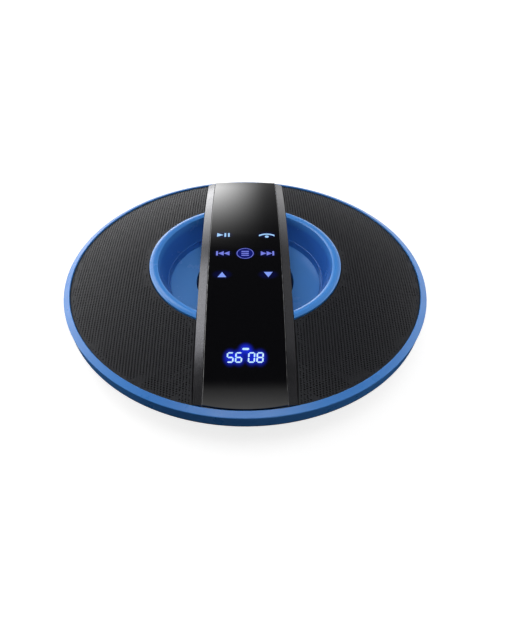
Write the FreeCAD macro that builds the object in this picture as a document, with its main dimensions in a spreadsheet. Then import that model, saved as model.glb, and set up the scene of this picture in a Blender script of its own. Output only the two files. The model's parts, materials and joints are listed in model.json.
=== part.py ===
"""Saucer-shaped Bluetooth speaker: a round body with two grilles, an open bowl and a key bridge.

Frame: origin at the bottom centre (the underside of the feet), +Z up, the display end towards -Y
and the sockets towards +Y. Millimetres throughout.
"""
import FreeCAD, Part
import Sketcher
import math
import os
import re

Vector = FreeCAD.Vector

# Driving dimensions: alias -> (millimetres or degrees, what it is).
SIZES = {
    "rim_radius": (114.4, "overall radius of the rim"),
    "mouth_radius": (110.4, "radius where the grilles meet the rim"),
    "rim_height": (29, "height of the rim's outer corner above the table"),
    "rim_crest": (1.6, "rise of the rim's inner edge above its outer corner"),
    "band_height": (8, "height of the rim's visible side band"),
    "baffle_top": (27.5, "top of the flat speaker baffle"),
    "baffle_thick": (2, "baffle thickness"),
    "gap": (0.3, "visible joint between housing pieces"),
    "shell": (2.2, "wall of the lower housing"),
    "base_radius": (76, "radius of the flat underside"),
    "foot_height": (2, "how far the feet stand out"),
    "belly_radius": (63.6, "radius of the underside's curve in section"),
    "lip_radius": (59.8, "outer radius of the bowl's lip"),
    "lip_rise": (13.3, "lip's outer edge above the rim"),
    "lip_width": (5.2, "width of the bowl's lip"),
    "lip_gap": (0.6, "dark joint between the lip and the grilles"),
    "bowl_floor_radius": (47.9, "radius of the bowl's floor"),
    "bowl_floor_drop": (3.2, "bowl floor below the rim"),
    "crease_rise": (3.8, "crease in the bowl's wall above the floor"),
    "crease_radius": (49.3, "radius of the crease"),
    "crease_edge": (0.6, "rounding of the crease"),
    "wall_curve": (30, "radius of the bowl's wall in section"),
    "bowl_wall": (2, "bowl wall"),
    "bowl_root_radius": (50.8, "outside radius of the bowl's lower wall"),
    "bowl_hole_radius": (51.5, "hole in the baffle for the bowl"),
    "disc_radius": (31, "centre disc of the bowl"),
    "disc_thick": (1.2, "centre disc thickness"),
    "disc_drop": (2, "disc's top below the bowl floor"),
    "grille_thick": (0.8, "perforated grille sheet"),
    "grille_curve": (220, "radius of the grille's dome in section"),
    "carrier_wall": (2.2, "walls of the grille carriers"),
    "arch_radius": (368.8, "radius of the bridge's arch at its outer edges"),
    "crown_rise": (17.25, "bridge edge above the rim at the crown"),
    "bridge_width": (55.2, "bridge overall width"),
    "bridge_depth": (7.5, "bridge body depth over the bowl"),
    "bridge_wall": (2, "bridge side walls"),
    "panel_width": (45.0, "glossy key panel width"),
    "panel_gap": (0.25, "joint beside the key panel"),
    "panel_thick": (1.6, "key panel thickness"),
    "panel_seat": (0.1, "panel seat above the bridge's outer edge"),
    "bevel_rise": (1.3, "rise of the bevelled side strips"),
    "legend_depth": (0.3, "depth of the lit legends in the panel"),
    "key_pitch": (20.1, "distance between rows of touch keys"),
    "key_column": (13.9, "touch key column from the centre line"),
    "key_shift": (-0.1, "middle row of keys from the crown"),
    "display_place": (-80.7, "display centre along the bridge"),
    "digit_height": (6.7, "height of a display digit"),
    "digit_width": (3.95, "width of a display digit"),
    "digit_stroke": (0.85, "width of a digit's segment"),
    "digit_pitch": (4.6, "distance between the digits of a pair"),
    "pair_place": (5.8, "centre of a digit pair from the centre line"),
    "driver_place": (85, "speaker driver axis from the centre"),
    "driver_radius": (22.5, "driver frame radius"),
    "driver_hole": (18.9, "baffle opening over a driver"),
    "cone_radius": (15.4, "driver cone radius"),
    "coil_radius": (6.2, "voice coil former, middle radius"),
    "magnet_top": (16, "top of the magnets, where the baskets sit"),
    "pole_top": (17.4, "top of the centre poles"),
    "coil_foot": (14.5, "lower end of the voice coil formers"),
    "magnet_radius": (10.5, "driver magnet radius"),
    "magnet_foot": (11.5, "underside of the magnets"),
    "post_radius": (3.5, "screw post radius"),
    "post_foot": (8, "screw head seat in the lower housing"),
    "post_top": (14, "meeting height of the screw posts"),
    "post_ring": (88, "outer screw posts from the centre"),
    "rear_post": (68, "rear screw post from the centre"),
    "thread_radius": (1.3, "case screw thread radius"),
    "head_radius": (2.8, "case screw head radius"),
    "well_radius": (3.2, "screw well radius"),
    "small_bore": (0.95, "bore for the board screws"),
    "plate_hole": (1.2, "clearance hole for small screws"),
    "foot_radius": (7, "rubber foot radius"),
    "foot_place": (64, "rubber feet from the centre"),
    "port_face": (101.5, "flat socket panel from the centre"),
    "port_half": (23, "half width of the socket recess"),
    "port_ceiling": (19.6, "ceiling of the socket recess"),
    "port_board_foot": (13, "underside of the socket board"),
    "socket_post_half": (18, "socket board posts from the centre line"),
    "socket_post_place": (82.3, "socket board posts from the centre"),
    "charge_place": (-6.5, "charging socket from the centre line"),
    "jack_place": (2.5, "audio jack from the centre line"),
    "jack_height": (16.7, "audio jack's axis above the table"),
    "card_place": (14, "card slot from the centre line"),
    "board_thick": (1.2, "socket board thickness"),
    "main_board_thick": (1.6, "main board thickness"),
    "battery_place": (30, "battery from the centre"),
    "strap_half": (36, "strap screws from the centre line"),
    "strap_height": (8.2, "underside of the battery strap above the floor"),
    "main_board_foot": (8, "underside of the main board"),
    "switch_place": (-16.5, "power switch from the centre line"),
    "switch_height": (14.9, "lower edge of the power switch's opening"),
    "switch_travel": (2, "power switch travel"),
}

doc = FreeCAD.newDocument("SaucerSpeaker")
sheet = doc.addObject("Spreadsheet::Sheet", "Sizes")
for row, (alias, (number, meaning)) in enumerate(SIZES.items(), start=1):
    sheet.set("A%d" % row, meaning)
    sheet.set("B%d" % row, str(number))
    sheet.setAlias("B%d" % row, alias)
doc.recompute()

PIECES = []


# ---------------------------------------------------------------- helpers
def bound(text):
    """Turn a formula written with plain aliases into one that any object can use."""
    return re.sub(r"[a-z_]+", lambda word: "Sizes." + word.group(0)
                  if word.group(0) in SIZES else word.group(0), str(text))


def value(text):
    """The number that a formula gives now."""
    return float(sheet.evalExpression(str(text)))


def bind(item, field, text):
    item.setExpression(field, bound(text))


def place(item, x=0, y=0, z=0):
    for axis, text in zip("xyz", (x, y, z)):
        bind(item, "Placement.Base." + axis, text)
    return item


def keep(item, node):
    """Name a finished sub-part."""
    item.Label = node
    PIECES.append(item)
    return item


def box(name, size, corner):
    """A block from its size and its low corner."""
    item = doc.addObject("Part::Box", name)
    for field, text in zip(("Length", "Width", "Height"), size):
        bind(item, field, text)
    return place(item, *corner)


def block(name, size, foot):
    """A block centred over its foot point."""
    width, depth, height = size
    x, y, z = foot
    return box(name, size, ("%s - (%s) / 2" % (x, width), "%s - (%s) / 2" % (y, depth), z))


def rod(name, radius, height, foot, axis=Vector(0, 0, 1)):
    """A cylinder standing on its foot point along an axis."""
    item = doc.addObject("Part::Cylinder", name)
    bind(item, "Radius", radius)
    bind(item, "Height", height)
    item.Placement.Rotation = FreeCAD.Rotation(Vector(0, 0, 1), axis)
    return place(item, *foot)


def tube(name, outer, inner, height, foot):
    return cut(name, rod(name + "Outer", outer, height, foot), rod(name + "Bore", inner, height, foot))


def joined(name, items):
    item = doc.addObject("Part::MultiFuse", name)
    item.Shapes = items
    return item


def shared(name, items):
    item = doc.addObject("Part::MultiCommon", name)
    item.Shapes = items
    return item


def group(name, items):
    item = doc.addObject("Part::Compound", name)
    item.Links = items
    return item


def cut(name, base, *tools):
    item = doc.addObject("Part::Cut", name)
    item.Base = base
    item.Tool = tools[0] if len(tools) == 1 else joined(name + "Tools", list(tools))
    return item


def arc_between(start, end, radius):
    """Arc geometry from start to end, bulging left of travel for a positive radius."""
    chord = end - start
    half = chord.Length / 2
    side = 1 if radius > 0 else -1
    left = Vector(-chord.y, chord.x, 0).normalize()
    centre = (start + end) * 0.5 - left * side * math.sqrt(radius * radius - half * half)
    first, last = (end, start) if side > 0 else (start, end)
    angles = [math.atan2(p.y - centre.y, p.x - centre.x) for p in (first, last)]
    return Part.ArcOfCircle(Part.Circle(centre, Vector(0, 0, 1), abs(radius)), *angles)


def outline(body, plane, corners):
    """A closed, fully dimensioned sketch.

    A corner is (across, up) or (across, up, bend): bend is the radius of the arc that arrives
    there, positive when it bulges to the left of travel.
    """
    origin_plane = next(f for f in body.Origin.OriginFeatures if f.Role == plane)
    sketch = body.newObject("Sketcher::SketchObject", body.Name + "Outline")
    sketch.AttachmentSupport = [(origin_plane, "")]
    sketch.MapMode = "FlatFace"
    points = [Vector(value(c[0]), value(c[1]), 0) for c in corners]
    ends = []
    for i, corner in enumerate(corners):
        start, end = points[i - 1], points[i]
        if len(corner) == 3:
            bend = value(corner[2])
            index = sketch.addGeometry(arc_between(start, end, bend))
            size = sketch.addConstraint(Sketcher.Constraint("Radius", index, abs(bend)))
            sketch.setExpression("Constraints[%d]" % size, bound("abs(%s)" % corner[2]))
            ends.append((index, 2, 1) if bend > 0 else (index, 1, 2))
        else:
            index = sketch.addGeometry(Part.LineSegment(start, end))
            ends.append((index, 1, 2))
    for i, corner in enumerate(corners):
        index, _, last = ends[i]
        following = ends[(i + 1) % len(ends)]
        sketch.addConstraint(Sketcher.Constraint("Coincident", index, last, following[0], following[1]))
        for kind, text in (("DistanceX", corner[0]), ("DistanceY", corner[1])):
            rule = sketch.addConstraint(Sketcher.Constraint(kind, -1, 1, index, last, value(text)))
            sketch.setExpression("Constraints[%d]" % rule, bound(text))
    return sketch


def turned(name, corners, foot=(0, 0, 0)):
    """A piece turned about its own vertical axis."""
    body = doc.addObject("PartDesign::Body", name)
    sketch = outline(body, "XZ_Plane", corners)
    turn = body.newObject("PartDesign::Revolution", name + "Turn")
    turn.Profile = sketch
    turn.ReferenceAxis = (sketch, ["V_Axis"])
    turn.Angle = 360
    return place(body, *foot)


ARCH_CENTRE = "rim_height + crown_rise - arch_radius"
ARCH_SWEEP = 42


def arched(name, corners):
    """A piece swept along the bridge's arch: corners are (across, height above the arch line)."""
    body = doc.addObject("PartDesign::Body", name)
    raised = [(c[0], "arch_radius + (%s)" % c[1]) + tuple(c[2:]) for c in corners]
    sketch = outline(body, "XZ_Plane", raised)
    turn = body.newObject("PartDesign::Revolution", name + "Turn")
    turn.Profile = sketch
    turn.ReferenceAxis = (sketch, ["H_Axis"])
    turn.Angle = ARCH_SWEEP
    turn.Midplane = True
    return place(body, z=ARCH_CENTRE)


def arched_bar(name, half_width, low, high):
    """A rectangular bar along the arch."""
    return arched(name, [("-(%s)" % half_width, low), (half_width, low), (half_width, high),
                         ("-(%s)" % half_width, high)])


def ring_places(radius, first, step, count):
    """Formulas for points spread round a circle."""
    turns = [first + step * i for i in range(count)]
    return [("(%s) * cos(%g deg)" % (radius, a), "(%s) * sin(%g deg)" % (radius, a)) for a in turns]


def screw(name, foot, length, thread="thread_radius", head="head_radius", up=True):
    """A pan-head screw whose head seats at its foot point; up says which way the thread runs."""
    x, y, z = foot
    head_high = "(%s) * 0.6" % head
    reach = z if up else "%s - (%s)" % (z, length)
    head_z = "%s - %s" % (z, head_high) if up else z
    shank = rod(name + "Shank", thread, length, (x, y, reach))
    cap = rod(name + "Cap", head, head_high, (x, y, head_z))
    slot = block(name + "Slot", ("(%s) * 1.2" % head, 0.5, 0.5),
                 (x, y, head_z if up else "%s + %s - 0.5" % (z, head_high)))
    return cut(name, joined(name + "Blank", [shank, cap]), slot)


# ---------------------------------------------------------------- shared places
CASE_POSTS = ring_places("post_ring", 45, 90, 4) + [("0", "-post_ring"), ("0", "rear_post")]
FEET = ring_places("foot_place", 45, 90, 4)
BOWL_SCREWS = ring_places("bowl_root_radius + 4.8", 45, 90, 4)
BRIDGE_SCREWS = [("%d" % (20 * x), "%d" % (76 * y)) for x in (-1, 1) for y in (-1, 1)]
COVER_SCREWS = [("%d" % (19 * x), "%d" % (42 * y)) for x in (-1, 1) for y in (-1, 1)]
BOARD_SCREWS = [("%d" % (31 * x), "%d" % y) for x in (-1, 1) for y in (-43, -1)]
STRAP_SCREWS = [("%d * strap_half" % side, "battery_place") for side in (-1, 1)]
SOCKET_SCREWS = [("%d * socket_post_half" % side, "socket_post_place") for side in (-1, 1)]
SIDES = (("left", -1), ("right", 1))
BAFFLE_UNDER = "baffle_top - baffle_thick"
BAND_FOOT = "rim_height - band_height"


def driver_screw_places(side):
    """The four screws of one driver, as formulas."""
    centre = "%d * driver_place" % side
    return [("%s + (driver_radius - 1.9) * cos(%d deg)" % (centre, a),
             "(driver_radius - 1.9) * sin(%d deg)" % a) for a in (45, 135, 225, 315)]


# ---------------------------------------------------------------- housing
def upper_housing():
    """Blue rim and the baffle behind the grilles."""
    ring = turned("RimTurned", [
        ("bowl_hole_radius", BAFFLE_UNDER),
        ("rim_radius - 2.8", BAFFLE_UNDER),
        ("rim_radius - 2.8", BAND_FOOT),
        ("rim_radius - 1.4", BAND_FOOT),
        ("rim_radius - 1.1", BAND_FOOT + " + 0.3"),
        ("rim_radius", "rim_height - 0.5"),
        ("rim_radius - 0.5", "rim_height + 0.1", "-0.6"),
        ("mouth_radius + 0.4", "rim_height + rim_crest"),
        ("mouth_radius", "rim_height + rim_crest - 0.4", "-0.45"),
        ("mouth_radius", "baffle_top"),
        ("bowl_hole_radius", "baffle_top"),
    ])
    bosses = [rod("CaseBoss%d" % i, "post_radius", BAFFLE_UNDER + " - post_top", (x, y, "post_top"))
              for i, (x, y) in enumerate(CASE_POSTS)]
    bores = [rod("CaseBossBore%d" % i, "thread_radius + 0.05", 10, (x, y, "post_top"))
             for i, (x, y) in enumerate(CASE_POSTS)]
    holes = [rod(name + "DriverHole", "driver_hole", 10, ("%d * driver_place" % side, 0, 20))
             for name, side in SIDES]
    for name, side in SIDES:
        for i, (x, y) in enumerate(driver_screw_places(side)):
            bosses.append(rod("%sPad%d" % (name, i), 1.9, 1.2, (x, y, "baffle_top")))
            bores.append(rod("%sPadBore%d" % (name, i), 0.85, 2.6, (x, y, BAFFLE_UNDER)))
    for kind, places in (("Bowl", BOWL_SCREWS), ("Bridge", BRIDGE_SCREWS)):
        bores += [rod("%sScrewHole%d" % (kind, i), 1.2, 6, (x, y, 23)) for i, (x, y) in enumerate(places)]
    slot = block("RibbonSlot", (16, 3, 6), (0, -66, 23))
    blank = joined("RimBlank", [ring] + bosses)
    keep(cut("UpperHousing", blank, *(holes + bores + [slot])), "upper_housing")


def lower_housing():
    """Curved underside with its screw posts and the recess for the sockets."""
    seam = BAND_FOOT + " - gap"
    belly = turned("BellyOuter", [
        (0, "foot_height"),
        ("base_radius", "foot_height"),
        ("rim_radius - 1.2", seam, "-belly_radius"),
        (0, seam),
    ])
    hollow = turned("BellyHollow", [
        (0, "foot_height + shell"),
        ("base_radius - 0.6", "foot_height + shell"),
        ("rim_radius - 3.4", seam, "-(belly_radius - shell)"),
        (0, seam),
    ])
    walled = cut("BellyShell", belly, hollow)
    alcove = shared("SocketAlcove", [belly, box("AlcoveBlock", (
        "2 * port_half + 4", 20, 20), ("-port_half - 2", "port_face - 2", seam + " - 20"))])
    tongue = tube("SeamTongue", "rim_radius - 3", "rim_radius - 4.6", 4.2, (0, 0, seam + " - 2.2"))
    posts = [shared("PostBlock%d" % i, [belly, rod("Post%d" % i, 5, "post_top", (x, y, 0))])
             for i, (x, y) in enumerate(CASE_POSTS)]
    posts += [rod("BoardPost%d" % i, 2.6, "main_board_foot - 3", (x, y, 3))
              for i, (x, y) in enumerate(BOARD_SCREWS)]
    posts += [rod("StrapPost%d" % i, 3, "foot_height + shell + strap_height - 3", (x, y, 3))
              for i, (x, y) in enumerate(STRAP_SCREWS)]
    posts += [shared("SocketPostBlock%d" % i, [belly, rod("SocketPost%d" % i, 2.4, "port_board_foot - 4",
                                                        (x, y, 4))])
              for i, (x, y) in enumerate(SOCKET_SCREWS)]
    wells = [rod("Well%d" % i, "well_radius", "post_foot", (x, y, 0))
             for i, (x, y) in enumerate(CASE_POSTS)]
    wells += [rod("PostBore%d" % i, "thread_radius + 0.2", "post_top", (x, y, 1))
              for i, (x, y) in enumerate(CASE_POSTS)]
    for kind, places, foot in (("Board", BOARD_SCREWS, 4), ("Strap", STRAP_SCREWS, 6),
                               ("Socket", SOCKET_SCREWS, 9)):
        wells += [rod("%sPostBore%d" % (kind, i), "small_bore", 10, (x, y, foot))
                  for i, (x, y) in enumerate(places)]
    wells += [rod("FootSeat%d" % i, "foot_radius + 0.1", 0.8, (x, y, "foot_height"))
              for i, (x, y) in enumerate(FEET)]
    recess = box("SocketRecess", ("2 * port_half", 20, "port_ceiling"), ("-port_half", "port_face", 0))
    socket_top = "port_board_foot + board_thick"
    openings = [rod("JackOpening", 2.6, 4, ("jack_place", "port_face - 3", "jack_height"), Vector(0, 1, 0)),
                block("ChargeOpening", (7.9, 6, 3.0), ("charge_place", "port_face", socket_top + " - 0.1")),
                block("CardOpening", (11.6, 6, 1.5), ("card_place", "port_face", socket_top + " + 0.2")),
                block("SwitchOpening", ("3.6 + switch_travel", 6, 2.6),
                      ("switch_place", "port_face", "switch_height"))]
    lower = joined("BellyBlank", [walled, alcove, tongue] + posts)
    keep(cut("LowerHousing", lower, recess, *(wells + openings)), "lower_housing")


def bowl():
    """Open bowl under the bridge, notched where the bridge crosses its lip."""
    floor = "rim_height - bowl_floor_drop"
    seat = floor + " - disc_drop - disc_thick"
    crease = floor + " + crease_rise"
    lip = "rim_height + lip_rise"
    dish = turned("BowlTurned", [
        (0, seat + " - bowl_wall"),
        ("disc_radius + 2.3", seat + " - bowl_wall"),
        ("disc_radius + 2.3", floor + " - bowl_wall"),
        ("bowl_root_radius", floor + " - bowl_wall"),
        ("bowl_root_radius", "baffle_top + 0.5"),
        ("lip_radius - 2", lip + " - 3.2"),
        ("lip_radius - 2", "baffle_top"),
        ("lip_radius", "baffle_top"),
        ("lip_radius", lip),
        ("lip_radius - lip_width", lip + " + 0.3", "-5"),
        ("crease_radius", crease, "wall_curve"),
        ("crease_radius - crease_edge", crease + " - crease_edge", "-crease_edge"),
        ("bowl_floor_radius", floor),
        ("disc_radius + 0.3", floor),
        ("disc_radius + 0.3", seat),
        (0, seat),
    ])
    bosses = [shared("BowlBossBlock%d" % i, [
        turned("BowlBossLimit%d" % i, [
            ("bowl_root_radius - 1", "baffle_top"), ("lip_radius - 1", "baffle_top"),
            ("lip_radius - 1", lip + " - 1.7"), ("bowl_root_radius - 1", crease)]),
        rod("BowlBoss%d" % i, 2.6, 12, (x, y, "baffle_top"))]) for i, (x, y) in enumerate(BOWL_SCREWS)]
    bores = [rod("BowlBossBore%d" % i, 1.1, 7, (x, y, "baffle_top")) for i, (x, y) in enumerate(BOWL_SCREWS)]
    notch = arched_bar("BowlNotch", "bridge_width / 2 + gap", "-bridge_depth - gap", "6")
    keep(cut("Bowl", joined("BowlBlank", [dish] + bosses), notch, *bores), "bowl")
    keep(turned("BowlDisc", [
        (0, seat), ("disc_radius", seat), ("disc_radius", seat + " + disc_thick - 0.3"),
        ("disc_radius - 0.3", seat + " + disc_thick"), (0, seat + " + disc_thick")]), "bowl_disc")


def grille_outline(low):
    """Half section under the dome line, lowered by a formula."""
    return [("lip_radius + lip_gap", "rim_height + lip_rise - 0.8 - (%s)" % low),
            ("mouth_radius - gap", "rim_height + rim_crest - 0.9 - (%s)" % low, "grille_curve")]


def grilles():
    """Domed perforated sheets and the plastic carriers that hold their edges."""
    for name, side in SIDES:
        reach = "mouth_radius + 10"
        near = "bridge_width / 2 + gap"
        start = near if side > 0 else "-(%s) - (%s)" % (near, reach)
        keeper = box(name + "Half", (reach, "2 * (%s)" % reach, 60), (start, "-(%s)" % reach, 0))
        top, low = grille_outline("0"), grille_outline("grille_thick")
        sheet_ring = turned(name + "Dome", [
            low[1][:2], (low[0][0], low[0][1], "-(grille_curve - grille_thick)"), top[0], top[1]])
        keep(shared(name + "Grille", [sheet_ring, keeper]), name + "_grille")

        carrier = turned(name + "CarrierTurned", [
            ("mouth_radius - gap", "baffle_top"), ("lip_radius + lip_gap", "baffle_top"),
            low[0], low[1]])
        inner_start = ("%s + carrier_wall" % near if side > 0
                       else "-(%s) - carrier_wall - (%s)" % (near, reach))
        pocket = shared(name + "Pocket", [
            turned(name + "PocketTurned", [
                ("mouth_radius - gap - carrier_wall - 1", "baffle_top - 5"),
                ("lip_radius + lip_gap + carrier_wall", "baffle_top - 5"),
                ("lip_radius + lip_gap + carrier_wall", 60),
                ("mouth_radius - gap - carrier_wall - 1", 60)]),
            box(name + "PocketHalf", (reach, "2 * (%s)" % reach, 90),
                (inner_start, "-(%s)" % reach, 0))])
        half = shared(name + "CarrierHalf", [carrier, keeper])
        keep(cut(name + "Carrier", half, pocket), name + "_grille_carrier")


# ---------------------------------------------------------------- bridge
def flat_shape(name, corners, low, high):
    """A prism on plain corner points, for the small outlines of the lit legends."""
    wire = Part.makePolygon([Vector(x, y, low) for x, y in corners + corners[:1]])
    item = doc.addObject("Part::Feature", name)
    item.Shape = Part.Face(wire).extrude(Vector(0, 0, high - low))
    return item


LEGEND_LOW = value("rim_height")
LEGEND_HIGH = value("rim_height + crown_rise + 10")


def triangle(name, x, y, width, height, heading):
    """Heading is the direction that the point looks in: left, right, up or down the panel."""
    across, along = width / 2, height / 2
    tips = {"right": [(-across, -along), (across, 0), (-across, along)],
            "left": [(across, -along), (across, along), (-across, 0)],
            "up": [(-across, -along), (across, -along), (0, along)],
            "down": [(-across, along), (0, -along), (across, along)]}
    return flat_shape(name, [(x + dx, y + dy) for dx, dy in tips[heading]], LEGEND_LOW, LEGEND_HIGH)


def bar(name, x, y, width, height):
    across, along = width / 2, height / 2
    return flat_shape(name, [(x - across, y - along), (x + across, y - along),
                             (x + across, y + along), (x - across, y + along)], LEGEND_LOW, LEGEND_HIGH)


def ring_prism(name, x, y, outer, inner):
    return tube(name, outer, inner, LEGEND_HIGH - LEGEND_LOW, (x, y, LEGEND_LOW))


def key_legends():
    """Play, call, previous, mode, next, up and down marks, as upright prisms."""
    column = value("key_column")
    upper = value("key_shift + key_pitch")
    middle = value("key_shift")
    lower = value("key_shift - key_pitch")
    mark = 4.3
    stroke = 1.1
    prisms = [
        triangle("PlayMark", -column - 2.1, upper, 4.1, mark, "right"),
        bar("PauseMarkA", -column + 1.1, upper, stroke, mark),
        bar("PauseMarkB", -column + 3.4, upper, stroke, mark),
        bar("PreviousBar", -column - 3.6, middle, stroke, mark),
        triangle("PreviousMarkA", -column - 1.2, middle, 3.5, mark, "left"),
        triangle("PreviousMarkB", -column + 2.4, middle, 3.5, mark, "left"),
        triangle("NextMarkA", column - 2.4, middle, 3.5, mark, "right"),
        triangle("NextMarkB", column + 1.2, middle, 3.5, mark, "right"),
        bar("NextBar", column + 3.6, middle, stroke, mark),
        triangle("UpMark", -column, lower, 5.3, 4.6, "up"),
        triangle("DownMark", column, lower, 5.3, 4.6, "down"),
        ring_prism("ModeRing", 0, middle, 5.25, 4.85),
    ]
    prisms += [bar("ModeLine%d" % i, 0, middle + 1.95 * i, 4.6, 0.95) for i in (-1, 0, 1)]
    call_drop = 7.6
    earpiece = cut("CallArc", rod("CallArcOuter", 8.6, 40, (column, upper - call_drop + 0.6, LEGEND_LOW)),
                   rod("CallArcInner", 7.2, 40, (column, upper - call_drop + 0.6, LEGEND_LOW)))
    prisms.append(shared("CallHandset", [earpiece, block("CallWindow", (10, 6, 40),
                                                       (column, upper + 1.4, LEGEND_LOW))]))
    prisms.append(rod("CallDot", 1.25, 40, (column, upper - 2.0, LEGEND_LOW)))
    return prisms


SEGMENTS = {"0": "abcdef", "5": "acdfg", "6": "acdefg", "8": "abcdefg"}
DISPLAY_TEXT = "5608"
SLANT = 0.06


def display_segments():
    """Four seven-segment digits and a dash, as upright prisms."""
    wide = value("digit_width") - value("digit_stroke")
    high = value("digit_height") - value("digit_stroke")
    thin = value("digit_stroke") / 2
    pitch, pair = value("digit_pitch"), value("pair_place")
    squash = math.cos(math.asin(value("display_place / arch_radius")))
    split = 0.12
    ends = {"a": ((-1, 1), (1, 1)), "b": ((1, 1), (1, 0)), "c": ((1, 0), (1, -1)), "d": ((-1, -1), (1, -1)),
            "e": ((-1, 0), (-1, -1)), "f": ((-1, 1), (-1, 0)), "g": ((-1, 0), (1, 0))}
    centres = [-pair - pitch / 2, -pair + pitch / 2, pair - pitch / 2, pair + pitch / 2]
    prisms = []

    def stroke(name, start, end, x, y, half):
        along = (end - start).normalize()
        side = Vector(-along.y, along.x, 0) * half
        begin, stop = start + along * split, end - along * split
        shoulder_a, shoulder_b = begin + along * half, stop - along * half
        corners = [begin, shoulder_a - side, shoulder_b - side, stop, shoulder_b + side, shoulder_a + side]
        flat = [(x + p.x + SLANT * p.y, y + p.y * squash) for p in corners]
        prisms.append(flat_shape(name, flat, LEGEND_LOW - 10, LEGEND_HIGH))

    y = value("display_place")
    for place_index, (digit, x) in enumerate(zip(DISPLAY_TEXT, centres)):
        for letter in SEGMENTS[digit]:
            (ax, ay), (bx, by) = ends[letter]
            stroke("Segment%d%s" % (place_index, letter), Vector(ax * wide / 2, ay * high / 2, 0),
                   Vector(bx * wide / 2, by * high / 2, 0), x, y, thin)
    stroke("DisplayDash", Vector(-2.2, 0, 0), Vector(2.2, 0, 0), 0.3, y + 5.3, 0.7)
    return prisms


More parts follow.
